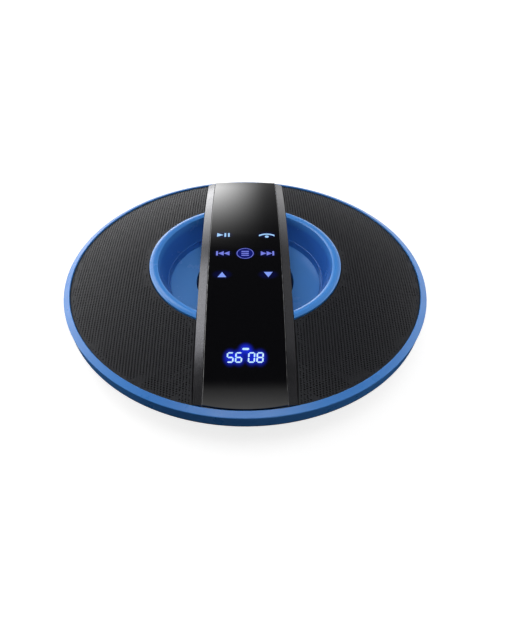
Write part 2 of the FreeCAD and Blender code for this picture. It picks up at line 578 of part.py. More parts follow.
def bridge():
    """Arched key bridge: housing, glossy panel, lit legends and underside cover."""
    edge = "bridge_width / 2"
    seat_edge = "panel_width / 2 + panel_gap"
    envelope = arched("BridgeEnvelope", [
        ("-(%s)" % edge, "-26"), (edge, "-26"), (edge, "0"), (seat_edge, "bevel_rise"),
        (seat_edge, "panel_seat"), ("-(%s)" % seat_edge, "panel_seat"),
        ("-(%s)" % seat_edge, "bevel_rise"), ("-(%s)" % edge, "0")])
    ends = rod("BridgeEnds", "mouth_radius - gap", 60, (0, 0, "baffle_top"))
    cavity = shared("BridgeCavity", [
        arched_bar("BridgeHollow", edge + " - bridge_wall", "-30", "-1.4"),
        rod("BridgeHollowEnds", "mouth_radius - gap - bridge_wall", 60, (0, 0, 0))])
    shell = cut("BridgeShell", shared("BridgeSolid", [envelope, ends]), cavity)
    over_bowl = shared("BowlClearance", [
        arched_bar("BowlClearanceBar", edge + " + 5", "-45", "-bridge_depth"),
        rod("BowlClearanceDisc", "lip_radius + gap", 60, (0, 0, 0))])
    bosses = [rod("BridgeBoss%d" % i, 3, 30, (x, y, "baffle_top")) for i, (x, y) in enumerate(BRIDGE_SCREWS)]
    bosses += [shared("CoverBossBlock%d" % i, [
        arched_bar("CoverBossLimit%d" % i, edge + " - 1", "1.6 - bridge_depth", "-1"),
        rod("CoverBoss%d" % i, 2.6, 60, (x, y, 0))]) for i, (x, y) in enumerate(COVER_SCREWS)]
    trimmed = shared("BridgeTrim", [joined("BridgeBossed", [shell] + bosses), envelope])
    bores = [rod("BridgeBossBore%d" % i, 1.1, 7, (x, y, "baffle_top"))
             for i, (x, y) in enumerate(BRIDGE_SCREWS)]
    bores += [shared("CoverBoreBlock%d" % i, [
        arched_bar("CoverBoreLimit%d" % i, edge, "-20", "-2.2"),
        rod("CoverBore%d" % i, 0.9, 60, (x, y, 0))]) for i, (x, y) in enumerate(COVER_SCREWS)]
    windows = [block("KeyWindow", (38, "2 * key_pitch + 12", 60), (0, "key_shift", 0)),
               block("DisplayWindow", (30.6, 16.4, 60), (0, "display_place + 1.8", 0))]
    keep(cut("BridgeHousing", trimmed, over_bowl, *(bores + windows)), "bridge_housing")

    half, rounding = "panel_width / 2", "0.4"
    top = "panel_seat + panel_thick"
    panel = arched("PanelArch", [
        ("-(%s)" % half, "panel_seat"), (half, "panel_seat"), (half, "%s - %s" % (top, rounding)),
        ("%s - %s" % (half, rounding), top, "-" + rounding),
        ("-(%s) + %s" % (half, rounding), top),
        ("-(%s)" % half, "%s - %s" % (top, rounding), "-" + rounding)])
    slab = shared("PanelSlab", [panel, rod("PanelEnds", "mouth_radius - gap - 0.1", 60, (0, 0, 0))])
    film = arched_bar("LegendFilm", half + " - 1", top + " - legend_depth", top)
    legends = group("KeyLegendPrisms", key_legends())
    segments = group("DisplayPrisms", display_segments())
    below = arched_bar("LegendBelow", half + " - 1", "-10", top + " - legend_depth")
    legend_cut = cut("LegendCut", legends, below)
    segment_cut = cut("SegmentCut", segments, below)
    keep(cut("BridgePanel", slab, legend_cut, segment_cut), "bridge_panel")
    keep(shared("TouchLegends", [legends, film]), "touch_legends")
    keep(shared("DisplaySegments", [segments, film]), "display_segments")

    cover = shared("CoverSlab", [
        arched_bar("CoverArch", edge + " - bridge_wall - 0.1", "-bridge_depth", "1.5 - bridge_depth"),
        rod("CoverEnds", "lip_radius", 60, (0, 0, 0))])
    holes = [rod("CoverHole%d" % i, 1.2, 60, (x, y, 0)) for i, (x, y) in enumerate(COVER_SCREWS)]
    keep(cut("BridgeCover", cover, *holes), "bridge_cover")

    sensor = arched_bar("SensorArch", "18.6", "panel_seat - 0.6", "panel_seat")
    keep(shared("TouchSensor", [sensor, block("SensorTrim", (60, "2 * key_pitch + 11", 60),
                                            (0, "key_shift", 0))]), "touch_sensor")
    keys = [("%d * key_column" % column, "key_shift + %d * key_pitch" % row)
            for column, row in ((-1, 1), (1, 1), (-1, 0), (0, 0), (1, 0), (-1, -1), (1, -1))]
    lamps = [shared("KeyLampBlock%d" % i, [
        arched_bar("KeyLampArch%d" % i, "20", "panel_seat - 1.3", "panel_seat - 0.6"),
        block("KeyLamp%d" % i, (1.6, 1.2, 60), (x, y, 0))]) for i, (x, y) in enumerate(keys)]
    keep(group("KeyLamps", lamps), "key_lamps")

    module = doc.addObject("Part::Box", "DisplayModule")
    for field, number in (("Length", 30), ("Width", 14), ("Height", 6.6)):
        bind(module, field, number)
    tilt = math.degrees(math.asin(-value("display_place") / value("arch_radius")))
    lean = FreeCAD.Rotation(Vector(1, 0, 0), tilt)
    middle = Vector(0, value("display_place") + 1.8, 0)
    middle.z = value(ARCH_CENTRE) + math.sqrt(value("arch_radius") ** 2 - middle.y ** 2)
    module.Placement = FreeCAD.Placement(middle - lean.multVec(Vector(15, 7, 6.9)), lean)
    keep(module, "display_module")


# ---------------------------------------------------------------- drivers
def drivers():
    """Two 45 mm drivers hung under the baffle."""
    mount = BAFFLE_UNDER
    flange = mount + " - 0.4"
    for name, side in SIDES:
        foot = ("%d * driver_place" % side, 0, 0)
        screws = driver_screw_places(side)
        holes = [rod("%sFlangeHole%d" % (name, i), 1.1, 10, (x, y, 20)) for i, (x, y) in enumerate(screws)]
        gasket = tube(name + "GasketRing", "driver_radius", "driver_hole + 0.1", 0.4, (foot[0], 0, flange))
        keep(cut(name + "Gasket", gasket, *holes), name + "_driver_gasket")
        basket = turned(name + "Basket", [
            ("coil_radius + 0.8", "magnet_top"), ("magnet_radius + 1.5", "magnet_top"),
            ("magnet_radius + 1.5", "pole_top"),
            ("cone_radius + 2.5", flange + " - 1.5"), ("driver_radius", flange + " - 1.5"),
            ("driver_radius", flange), ("cone_radius + 1.6", flange),
            ("cone_radius + 1.6", flange + " - 1.3"),
            ("magnet_radius + 0.4", "17.2"), ("coil_radius + 0.8", "17.2")], foot)
        vents = [block(name + "VentA", (60, 9, 4.4), (foot[0], 0, 18.2)),
                 block(name + "VentB", (9, 60, 4.4), (foot[0], 0, 18.2))]
        keep(cut(name + "Frame", basket, *(vents + holes)), name + "_driver_frame")
        keep(turned(name + "Magnet", [
            (0, "magnet_foot"), ("magnet_radius", "magnet_foot"), ("magnet_radius", "magnet_top"),
            ("coil_radius + 0.7", "magnet_top"), ("coil_radius + 0.7", "coil_foot - 1.5"),
            ("coil_radius - 0.7", "coil_foot - 1.5"), ("coil_radius - 0.7", "pole_top"),
            (0, "pole_top")], foot), name + "_driver_magnet")
        keep(turned(name + "Cone", [
            ("coil_radius - 0.2", "coil_foot"), ("coil_radius + 0.2", "coil_foot"),
            ("coil_radius + 0.2", "18.9"),
            ("cone_radius", "24.1"), ("cone_radius - 0.2", "24.6"), ("coil_radius + 1", "20.3"),
            (0, "21.9", "12"), (0, "21.4"), ("coil_radius - 0.2", "19.6")], foot), name + "_driver_cone")
        keep(turned(name + "Surround", [
            ("cone_radius + 0.1", "24.5"), ("cone_radius + 1.5", flange + " + 0.02"),
            ("driver_hole - 0.1", flange + " + 0.02"), ("driver_hole - 0.1", flange + " + 0.4"),
            ("cone_radius + 2.1", flange + " + 0.4"), ("cone_radius + 0.1", "25", "-1.3")], foot),
            name + "_driver_surround")
    driver_screws = [screw("DriverScrew%s%d" % (name, i), (x, y, flange + " - 1.5"), 3.9, 0.8, 1.6)
                     for name, side in SIDES for i, (x, y) in enumerate(driver_screw_places(side))]
    keep(group("DriverScrews", driver_screws), "driver_screws")


# ---------------------------------------------------------------- electronics
def electronics():
    """Boards, battery, sockets and the sliding power switch."""
    board_top = "main_board_foot + main_board_thick"
    board = block("MainBoardBlank", (70, 50, "main_board_thick"), (0, -22, "main_board_foot"))
    board_holes = [rod("BoardHole%d" % i, "plate_hole", 6, (x, y, "main_board_foot - 2"))
                   for i, (x, y) in enumerate(BOARD_SCREWS)]
    keep(cut("MainBoard", board, *board_holes), "main_board")
    keep(block("RadioModule", (24, 14, 2.2), (16, -12, board_top)), "bluetooth_module")
    keep(block("Amplifier", (10, 8, 1.5), (-18, -14, board_top)), "amplifier_chip")
    keep(group("Capacitors", [rod("Capacitor%d" % i, 3, 9, (x, y, board_top))
                              for i, (x, y) in enumerate(((-26, -30), (-18, -30), (26, -34)))]), "capacitors")
    connectors = [block("Connector%d" % i, (w, 5, 4), (x, y, board_top))
                  for i, (x, y, w) in enumerate(((-24, -40, 6), (0, -1, 6), (0, -42, 16)))]
    keep(group("Connectors", connectors), "board_connectors")
    ribbon_foot = "%s + 4" % board_top
    ribbon = joined("Ribbon", [
        box("RibbonFlat", (12, 25.3, 0.5), (-6, -66.3, ribbon_foot)),
        box("RibbonRise", (12, 0.6, 20.3), (-6, -66.3, ribbon_foot)),
        box("RibbonHead", (12, 4.4, 0.5), (-6, -70.7, ribbon_foot + " + 19.8"))])
    keep(ribbon, "display_ribbon")

    keep(block("Battery", (60, 38, 8), (0, "battery_place", "foot_height + shell")), "battery_cell")
    strap = block("StrapBar", ("2 * strap_half + 6", 10, 1.2),
                  (0, "battery_place", "foot_height + shell + strap_height"))
    strap_holes = [rod("StrapHole%d" % i, "plate_hole", 4, (x, y, "foot_height + shell + strap_height - 1"))
                   for i, (x, y) in enumerate(STRAP_SCREWS)]
    keep(cut("BatteryStrap", strap, *strap_holes), "battery_strap")

    socket_board_top = "port_board_foot + board_thick"
    socket_board = block("SocketBoardBlank", (42, 18.8, "board_thick"), (0, 89.5, "port_board_foot"))
    socket_holes = [rod("SocketBoardHole%d" % i, "plate_hole", 4, (x, y, "port_board_foot - 1"))
                    for i, (x, y) in enumerate(SOCKET_SCREWS)]
    keep(cut("SocketBoard", socket_board, *socket_holes), "socket_board")
    charge = block("ChargeShell", (7.5, 5.6, 2.6), ("charge_place", "port_face - 3", socket_board_top))
    charge_mouth = block("ChargeMouth", (6.7, 4.6, 1.8),
                         ("charge_place", "port_face - 2.3", socket_board_top + " + 0.4"))
    tongue = block("ChargeTongue", (4.2, 3.6, 0.5),
                   ("charge_place", "port_face - 3.1", socket_board_top + " + 1.1"))
    keep(joined("ChargeSocket", [cut("ChargeCase", charge, charge_mouth), tongue]), "charge_socket")
    jack_body = block("JackBody", (6.2, 11, 5), ("jack_place", "port_face - 7.7", socket_board_top))
    jack_nose = rod("JackNose", 2.5, 3.4, ("jack_place", "port_face - 3.4", "jack_height"), Vector(0, 1, 0))
    jack_bore = rod("JackBore", 1.78, 12, ("jack_place", "port_face - 11.9", "jack_height"), Vector(0, 1, 0))
    keep(cut("AudioJack", joined("JackBlank", [jack_body, jack_nose]), jack_bore), "audio_jack")
    card_body = block("CardBody", (13, 15, 1.9), ("card_place", "port_face - 9.7", socket_board_top))
    card_slot = block("CardSlot", (11.2, 14, 0.9),
                      ("card_place", "port_face - 8.7", socket_board_top + " + 0.5"))
    keep(cut("CardSocket", card_body, card_slot), "card_socket")

    switch_body = block("SwitchBody", (8.6, 5.4, 4), ("switch_place", "port_face - 4.8", socket_board_top))
    switch_slot = block("SwitchSlot", ("3.6 + switch_travel", 2.4, 2.6),
                        ("switch_place", "port_face - 3.2", "switch_height"))
    keep(cut("SwitchCase", switch_body, switch_slot), "power_switch_body")
    keep(box("SwitchKnob", (3, 5.8, 2), ("switch_place - 1.5 - switch_travel / 2", "port_face - 4",
                                         "switch_height + 0.3")), "power_switch_knob")


# ---------------------------------------------------------------- feet and screws
def feet_and_screws():
    keep(group("Feet", [rod("Foot%d" % i, "foot_radius", "foot_height + 0.8", (x, y, 0))
                        for i, (x, y) in enumerate(FEET)]), "rubber_feet")
    keep(group("CaseScrews", [screw("CaseScrew%d" % i, (x, y, "post_foot"), 14)
                              for i, (x, y) in enumerate(CASE_POSTS)]), "case_screws")
    keep(group("BowlScrews", [screw("BowlScrew%d" % i, (x, y, BAFFLE_UNDER), 8, 1.05, 2.2)
                              for i, (x, y) in enumerate(BOWL_SCREWS)]), "bowl_screws")
    keep(group("BridgeScrews", [screw("BridgeScrew%d" % i, (x, y, BAFFLE_UNDER), 8, 1.05, 2.2)
                                for i, (x, y) in enumerate(BRIDGE_SCREWS)]), "bridge_screws")
    cover_reach = 44
    cover_seat = value(ARCH_CENTRE) + math.sqrt(value("arch_radius - bridge_depth") ** 2 - cover_reach ** 2)
    keep(group("CoverScrews", [screw("CoverScrew%d" % i, (x, y, cover_seat), 4, 0.85, 1.9)
                               for i, (x, y) in enumerate(COVER_SCREWS)]), "cover_screws")
    small = [("%sScrew%d" % (kind, i), (x, y, seat))
             for kind, places, seat in (
                 ("Board", BOARD_SCREWS, "main_board_foot + main_board_thick"),
                 ("Socket", SOCKET_SCREWS, "port_board_foot + board_thick"),
                 ("Strap", STRAP_SCREWS, "foot_height + shell + strap_height + 1.2"))
             for i, (x, y) in enumerate(places)]
    keep(group("BoardScrews", [screw(name, foot, 4, 0.9, 1.8, up=False) for name, foot in small]),
         "board_screws")


for build_step in (upper_housing, lower_housing, bowl, grilles, bridge, drivers, electronics,
                   feet_and_screws):
    build_step()

doc.recompute()
failed = [item.Name for item in doc.Objects if "Invalid" in item.State or "Error" in item.State]
if failed:
    raise RuntimeError("failed objects: %s" % failed)
for item in PIECES:
    if item.Shape.isNull() or not item.Shape.isValid() or not item.Shape.Solids:
        raise RuntimeError("bad shape: %s" % item.Label)

os.makedirs("parts", exist_ok=True)
for item in PIECES:
    item.Shape.exportStep(os.path.join("parts", item.Label + ".step"))
    extent = item.Shape.BoundBox
    print("%-24s %2d solids %10.1f mm3  x %.1f..%.1f  y %.1f..%.1f  z %.1f..%.1f" % (
        item.Label, len(item.Shape.Solids), item.Shape.Volume, extent.XMin, extent.XMax,
        extent.YMin, extent.YMax, extent.ZMin, extent.ZMax))
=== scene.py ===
"""Looks of the saucer-shaped Bluetooth speaker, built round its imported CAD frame. Metres."""
import json
import math

import bmesh
import bpy
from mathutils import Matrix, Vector
from mathutils.geometry import delaunay_2d_cdt


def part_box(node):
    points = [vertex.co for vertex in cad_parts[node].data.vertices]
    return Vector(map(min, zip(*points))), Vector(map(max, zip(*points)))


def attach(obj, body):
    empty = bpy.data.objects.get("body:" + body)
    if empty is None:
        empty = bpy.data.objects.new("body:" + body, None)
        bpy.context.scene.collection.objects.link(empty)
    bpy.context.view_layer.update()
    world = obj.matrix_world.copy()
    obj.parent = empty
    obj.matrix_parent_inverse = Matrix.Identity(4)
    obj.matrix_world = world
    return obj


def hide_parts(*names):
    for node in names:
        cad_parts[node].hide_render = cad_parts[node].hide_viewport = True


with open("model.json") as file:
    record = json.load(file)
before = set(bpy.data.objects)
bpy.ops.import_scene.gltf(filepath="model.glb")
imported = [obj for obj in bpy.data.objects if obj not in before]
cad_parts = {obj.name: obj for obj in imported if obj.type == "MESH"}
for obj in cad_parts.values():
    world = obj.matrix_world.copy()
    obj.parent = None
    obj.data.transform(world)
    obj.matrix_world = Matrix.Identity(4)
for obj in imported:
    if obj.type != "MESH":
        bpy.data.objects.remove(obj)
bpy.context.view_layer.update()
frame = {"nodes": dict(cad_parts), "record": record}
MM = 0.001

# ---------------------------------------------------------------- places, as in the part
KEY_PITCH = 20.1 * MM
KEY_COLUMN = 13.9 * MM
KEY_SHIFT = -0.1 * MM
DIGIT_ROW = -80.7 * MM
DASH_ROW = -75.4 * MM
DASH_COLUMN = 0.3 * MM
MOUTH_RADIUS = 110.4 * MM
FLOOR_RADIUS = 47.9 * MM
LIP_INNER = 54.6 * MM


# ---------------------------------------------------------------- shader helpers
class Graph:
    """A small wrapper that adds and links shader nodes."""

    def __init__(self, name):
        self.material = bpy.data.materials.new(name)
        self.material.use_nodes = True
        self.nodes = self.material.node_tree.nodes
        self.links = self.material.node_tree.links
        self.shader = next(n for n in self.nodes if n.type == "BSDF_PRINCIPLED")

    @classmethod
    def of_tree(cls, tree):
        graph = cls.__new__(cls)
        graph.nodes = tree.nodes
        graph.links = tree.links
        return graph

    def add(self, kind, inputs=None, **settings):
        node = self.nodes.new(kind)
        for key, setting in settings.items():
            setattr(node, key, setting)
        for key, source in (inputs or {}).items():
            self.feed(source, node.inputs[key])
        return node

    def feed(self, source, socket):
        if isinstance(source, bpy.types.NodeSocket):
            self.links.new(source, socket)
        else:
            socket.default_value = source

    def set(self, **values):
        for key, source in values.items():
            socket = key.replace("_", " ").title().replace("Ior", "IOR")
            self.feed(source, self.shader.inputs[socket])

    def place(self):
        return self.add("ShaderNodeTexCoord").outputs["Object"]

    def math(self, operation, *sources):
        node = self.add("ShaderNodeMath", operation=operation)
        for i, source in enumerate(sources):
            self.feed(source, node.inputs[i])
        return node.outputs[0]

    def vector(self, operation, *sources, output="Vector"):
        node = self.add("ShaderNodeVectorMath", operation=operation)
        for i, source in enumerate(sources):
            self.feed(source, node.inputs[i])
        return node.outputs[output]

    def radius(self):
        """Distance from the upright axis through the object's middle."""
        level = self.vector("MULTIPLY", self.place(), (1, 1, 0))
        return self.vector("LENGTH", level, output="Value")

    def noise(self, scale, detail=3.0, roughness=0.5, stretch=None):
        where = self.place()
        if stretch:
            where = self.vector("MULTIPLY", where, stretch)
        node = self.add("ShaderNodeTexNoise", {"Vector": where, "Scale": scale, "Detail": detail,
                                               "Roughness": roughness})
        return node.outputs["Fac"]

    def span(self, source, low, high, start=0.0, stop=1.0):
        node = self.add("ShaderNodeMapRange", {"Value": source, "From Min": start, "From Max": stop,
                                               "To Min": low, "To Max": high})
        return node.outputs["Result"]

    def mix(self, factor, a, b):
        node = self.add("ShaderNodeMix", data_type="RGBA")
        self.feed(factor, node.inputs["Factor"])
        self.feed(a, node.inputs[6])
        self.feed(b, node.inputs[7])
        return node.outputs[2]

    def bump(self, *layers):
        """Stack (height socket, strength, distance) layers of bump."""
        normal = None
        for height, strength, distance in layers:
            inputs = {"Height": height, "Strength": strength, "Distance": distance}
            if normal is not None:
                inputs["Normal"] = normal
            normal = self.add("ShaderNodeBump", inputs).outputs["Normal"]
        self.links.new(normal, self.shader.inputs["Normal"])


def rgb(red, green, blue):
    return (red, green, blue, 1.0)


def scaled(colour, factor):
    return rgb(*(min(1, c * factor) for c in colour))


# ---------------------------------------------------------------- materials
def baffle_painted_shade(g, pigment):
    """Paint shade inside a shell's rim: it is painted near-black there as the shade seen through
    the grilles.
    """
    under_grille_shade = g.math("LESS_THAN", g.radius(), MOUTH_RADIUS - 0.2 * MM)
    # painted shade: near-black where the grilles cover the shell
    return g.mix(under_grille_shade, pigment, rgb(0.004, 0.004, 0.005))


def bowl_painted_shade_and_light(g, pigment):
    """Paint shade on the bowl's wall between floor and lip as a deeper blue, and give a paler floor
    that is partly its own tone and partly painted light.
    """
    radius = g.radius()
    # painted shade: the wall between floor and lip is darkened as if shaded inside the bowl
    wall_shade_mask = g.math("MULTIPLY", g.span(radius, 0, 1, FLOOR_RADIUS - 1 * MM, FLOOR_RADIUS + 1.5 * MM),
                  g.span(radius, 1, 0, LIP_INNER - 1.2 * MM, LIP_INNER))
    # the floor's paler blue is partly its own tone and partly painted light; the wall's deeper blue
    # is painted shade
    floor_tone_and_painted_light = rgb(0.11, 0.355, 0.87)
    painted_wall_shade = rgb(0.04, 0.18, 0.68)
    pigment = g.mix(g.math("LESS_THAN", radius, FLOOR_RADIUS), pigment, floor_tone_and_painted_light)
    return g.mix(wall_shade_mask, pigment, painted_wall_shade)


def gloss_plastic(name, colour, deep, roughness=0.16, coat=0.35, painted_shading=None):
    """Injection moulded gloss plastic: slight orange peel, handling marks and uneven pigment, with
    painted shade and light laid over the pigment when a painter is given.
    """
    g = Graph(name)
    cloud = g.noise(18, 4, 0.55)
    pigment = g.mix(g.span(cloud, 0, 1, 0.35, 0.65), rgb(*deep), rgb(*colour))
    # painted shade and light laid over the pigment
    if painted_shading:
        pigment = painted_shading(g, pigment)
    g.set(base_color=pigment)
    smudge = g.noise(55, 5, 0.65)
    g.set(roughness=g.span(smudge, roughness * 0.75, roughness * 1.5, 0.3, 0.75))
    g.set(ior=1.5, coat_weight=coat, coat_roughness=0.05)
    g.bump((g.noise(900, 2), 0.06, 0.0002), (g.noise(160, 3), 0.05, 0.0006))
    return g.material


def matte_plastic(name, colour, roughness=0.55, grain=2600):
    """Spark-eroded moulded texture."""
    g = Graph(name)
    tone = g.noise(30, 4, 0.6)
    g.set(base_color=g.mix(tone, scaled(colour, 0.75), rgb(*colour)))
    g.set(roughness=g.span(g.noise(120, 4), roughness * 0.85, roughness * 1.15))
    voronoi = g.add("ShaderNodeTexVoronoi", {"Vector": g.place(), "Scale": grain})
    cells = voronoi.outputs["Distance"]
    g.bump((cells, 0.35, 0.0001), (g.noise(grain / 4, 3), 0.2, 0.0001))
    return g.material


def satin_lacquer(name, colour, roughness=0.34):
    """Metallic gunmetal lacquer with fine flakes."""
    g = Graph(name)
    flakes = g.add("ShaderNodeTexVoronoi", {"Vector": g.place(), "Scale": 5200}).outputs["Color"]
    flake = g.add("ShaderNodeSeparateColor", {"Color": flakes}).outputs[0]
    g.set(base_color=g.mix(flake, scaled(colour, 0.8), scaled(colour, 1.5)), metallic=0.85)
    g.set(roughness=g.span(g.noise(70, 5, 0.6), roughness * 0.85, roughness * 1.25, 0.3, 0.7))
    g.set(coat_weight=0.2, coat_roughness=0.1)
    g.bump((flake, 0.05, 0.0001), (g.noise(420, 2), 0.04, 0.0003))
    return g.material


def metal(name, colour, roughness=0.3, stretch=(1, 1, 1)):
    """Plated metal with uneven wear, drawn out along one axis by the stretch."""
    g = Graph(name)
    g.set(metallic=1.0)
    wear = g.noise(900, 4, 0.6, stretch)
    g.set(base_color=g.mix(wear, scaled(colour, 0.7), rgb(*colour)))
    g.set(roughness=g.span(wear, roughness * 0.8, roughness * 1.3, 0.3, 0.7))
    g.bump((wear, 0.1, 0.0001))
    return g.material


def grille_steel(name, colour):
    """Powder coat on perforated steel: fine orange peel and a slightly worn sheen."""
    g = Graph(name)
    tone = g.noise(26, 4, 0.6)
    g.set(base_color=g.mix(tone, scaled(colour, 0.8), rgb(*colour)))
    g.set(roughness=g.span(g.noise(240, 3), 0.45, 0.6), specular_ior_level=0.3)
    g.bump((g.noise(5200, 2), 0.2, 0.0001))
    return g.material


def lit_window(name, core, edge, strength):
    """A back-lit window in the panel: light spreads unevenly over it."""
    g = Graph(name)
    spread = g.noise(420, 2, 0.5)
    tint = g.mix(g.span(spread, 0, 1, 0.35, 0.65), rgb(*edge), rgb(*core))
    g.set(base_color=rgb(0.03, 0.03, 0.04), roughness=g.span(g.noise(300, 3), 0.1, 0.2))
    g.set(emission_color=tint, emission_strength=strength)
    g.bump((g.noise(900, 2), 0.03, 0.0002))
    return g.material


def key_light(name):
    """Key marks lit from below: each row's lamp has a slightly different white."""
    g = Graph(name)
    along = g.add("ShaderNodeSeparateXYZ", {0: g.place()}).outputs["Y"]
    upper_row = g.math("GREATER_THAN", along, KEY_SHIFT + KEY_PITCH / 2)
    lower_row = g.math("LESS_THAN", along, KEY_SHIFT - KEY_PITCH / 2)
    spread = g.span(g.noise(420, 2), 0, 1, 0.35, 0.65)
    tint = g.mix(spread, rgb(0.15, 0.18, 0.7), rgb(0.2, 0.24, 0.8))
    tint = g.mix(lower_row, tint, rgb(0.22, 0.34, 0.92))
    tint = g.mix(upper_row, tint, rgb(0.36, 0.64, 1.0))
    g.set(base_color=rgb(0.02, 0.02, 0.05), roughness=g.span(g.noise(300, 3), 0.1, 0.2))
    g.set(emission_color=tint, emission_strength=1.0)
    g.bump((g.noise(900, 2), 0.03, 0.0002))
    return g.material


def halo(g, place, centre, reach, strength, core=0.0):
    """Light that falls off round a point on the panel: reach is (across, along)."""
    away = g.vector("SUBTRACT", place, centre)
    share = g.vector("MULTIPLY", away, (1 / reach[0], 1 / reach[1], 0))
    distance = g.vector("LENGTH", share, output="Value")
    node = g.add("ShaderNodeMapRange", {"Value": distance, "From Min": core, "From Max": 1.0,
                                        "To Min": strength, "To Max": 0.0},
                 interpolation_type="SMOOTHERSTEP")
    return node.outputs["Result"]


def key_places():
    """Centres of the seven touch keys, seen from above."""
    upper, lower = KEY_SHIFT + KEY_PITCH, KEY_SHIFT - KEY_PITCH
    return [(-KEY_COLUMN, upper), (KEY_COLUMN, upper), (-KEY_COLUMN, KEY_SHIFT), (0, KEY_SHIFT),
            (KEY_COLUMN, KEY_SHIFT), (-KEY_COLUMN, lower), (KEY_COLUMN, lower)]


def digit_places():
    pair, pitch = 5.8 * MM, 4.6 * MM
    return [(side * pair + half * pitch / 2, DIGIT_ROW) for side in (-1, 1) for half in (-1, 1)]


# Each halo on the panel: (reach across, reach along), strength and core.
DIGIT_HALO = ((5.2 * MM, 7.0 * MM), 0.55, 0.1)
DASH_HALO = ((5.4 * MM, 5 * MM), 0.6, 0.1)
KEY_HALO = ((7.4 * MM, 4.8 * MM), 0.03, 0.4)
RING_HALO = ((6.2 * MM, 6.2 * MM), 0.13, 0.8)


def smoked_panel(name):
    """Polished black lens whose back light bleeds a little round each lit window."""
    g = Graph(name)
    g.set(base_color=rgb(0.004, 0.004, 0.005), ior=1.5)
    smudge = g.noise(38, 5, 0.7)
    g.set(roughness=g.span(smudge, 0.035, 0.085, 0.35, 0.75))
    g.set(coat_weight=0.3, coat_roughness=0.02)
    place = g.place()
    spots = [(x, y, DIGIT_HALO) for x, y in digit_places()]
    spots.append((DASH_COLUMN, DASH_ROW, DASH_HALO))
    spots += [(x, y, KEY_HALO) for x, y in key_places()]
    spots.append((0, KEY_SHIFT, RING_HALO))
    total = None
    for x, y, (reach, strength, core) in spots:
        glow = halo(g, place, (x, y, 0), reach, strength, core)
        total = glow if total is None else g.math("ADD", total, glow)
    g.set(emission_color=rgb(0.012, 0.035, 1.0), emission_strength=total)
    g.bump((g.noise(12, 2), 0.02, 0.002), (g.noise(1400, 2), 0.015, 0.0001))
    return g.material


# the bowl's blue carries painted shade on its wall and partly painted light on its floor
BLUE = gloss_plastic("blue_gloss_abs", (0.078, 0.33, 0.88), (0.068, 0.295, 0.82), 0.22, 0.2,
                     bowl_painted_shade_and_light)
# the upper shell's blue, painted near-black inside its rim as shade under the grilles
RIM_BLUE = gloss_plastic("blue_gloss_rim", (0.072, 0.31, 0.86), (0.062, 0.275, 0.79), 0.3, 0.1,
                         baffle_painted_shade)
NAVY = gloss_plastic("navy_gloss_cover", (0.008, 0.02, 0.09), (0.006, 0.014, 0.07), 0.12)
SHELL = matte_plastic("black_textured_abs", (0.018, 0.018, 0.02))
INNER = matte_plastic("inner_black_abs", (0.012, 0.012, 0.013), 0.7, 1800)
GUNMETAL = satin_lacquer("gunmetal_lacquer", (0.09, 0.09, 0.098), 0.17)
PANEL = smoked_panel("smoked_acrylic")
LEGEND = key_light("lit_legend")
DISPLAY = lit_window("lit_display", (0.62, 0.86, 1.0), (0.45, 0.74, 1.0), 1.1)
GRILLE = grille_steel("grille_powder_coat", (0.017, 0.018, 0.023))
RUBBER = matte_plastic("foot_rubber", (0.015, 0.015, 0.015), 0.8, 1500)
ZINC = metal("zinc_plate", (0.55, 0.56, 0.58))
NICKEL = metal("nickel_plate", (0.62, 0.6, 0.56), 0.25, (1, 8, 1))
CONE = matte_plastic("cone_pulp", (0.02, 0.02, 0.02), 0.75, 1200)
FOAM = matte_plastic("gasket_foam", (0.02, 0.02, 0.02), 0.9, 900)
BOARD = gloss_plastic("solder_mask", (0.01, 0.1, 0.035), (0.008, 0.07, 0.025), 0.3, 0.1)
FILM = gloss_plastic("polyimide_film", (0.35, 0.16, 0.02), (0.28, 0.12, 0.015), 0.25, 0.1)
NYLON = matte_plastic("nylon", (0.65, 0.62, 0.52), 0.5)
WRAP = gloss_plastic("battery_wrap", (0.03, 0.12, 0.3), (0.02, 0.09, 0.24), 0.25, 0.1)

SLOT_MATERIALS = {
    "blue_gloss": BLUE, "navy_gloss": NAVY, "black_shell": SHELL, "grille_mesh": GRILLE,
    "inner_plastic": INNER, "gunmetal_satin": GUNMETAL, "panel_gloss": PANEL,
    "legend_light": LEGEND, "display_light": DISPLAY, "sensor_film": FILM, "lamp_white": NYLON,
    "module_black": INNER, "circuit_board": BOARD, "radio_can": NICKEL, "capacitor_sleeve": NAVY,
    "connector_nylon": NYLON, "battery_wrap": WRAP, "plated_steel": NICKEL, "switch_black": INNER,
    "foot_rubber": RUBBER, "zinc_screw": ZINC, "driver_steel": INNER, "magnet_plated": NICKEL,
    "paper_cone": CONE, "surround_rubber": RUBBER, "gasket_foam": FOAM,
}


def dress_nodes():
    """Give every CAD node the material of its slot, and the upper shell its own blue with painted
    shade inside its rim.
    """
    for part in frame["record"]["subparts"]:
        node = frame["nodes"][part["node"]]
        material = SLOT_MATERIALS[part["material_slot"]]
        node.data.materials.clear()
        node.data.materials.append(RIM_BLUE if part["node"] == "upper_housing" else material)


# ---------------------------------------------------------------- grilles
GRILLE_CURVE = 220 * MM
GRILLE_THICK = 0.8 * MM
HOLE_PITCH = 1.32 * MM
ROW_STRETCH = 1.5
# Half sizes of a six-sided hole, from its centre to its corners.
HOLE_ACROSS = 0.56 * MM
HOLE_ALONG = 0.46 * MM
# Gap between the bowl's lip and the sheet, and the plain edge round the holes.
JOINT = 0.6 * MM
EDGE_MARGIN = 0.15 * MM
# Points nearer than this are one point.
WELD = 0.01 * MM
COLUMN_STEP = HOLE_PITCH * math.sqrt(3) / 2 * ROW_STRETCH
CELL_ALONG = HOLE_PITCH / math.sqrt(3)
CELL_ACROSS = CELL_ALONG * ROW_STRETCH
CELL_FLATS = tuple(math.radians(angle) for angle in (30, 90, 150))


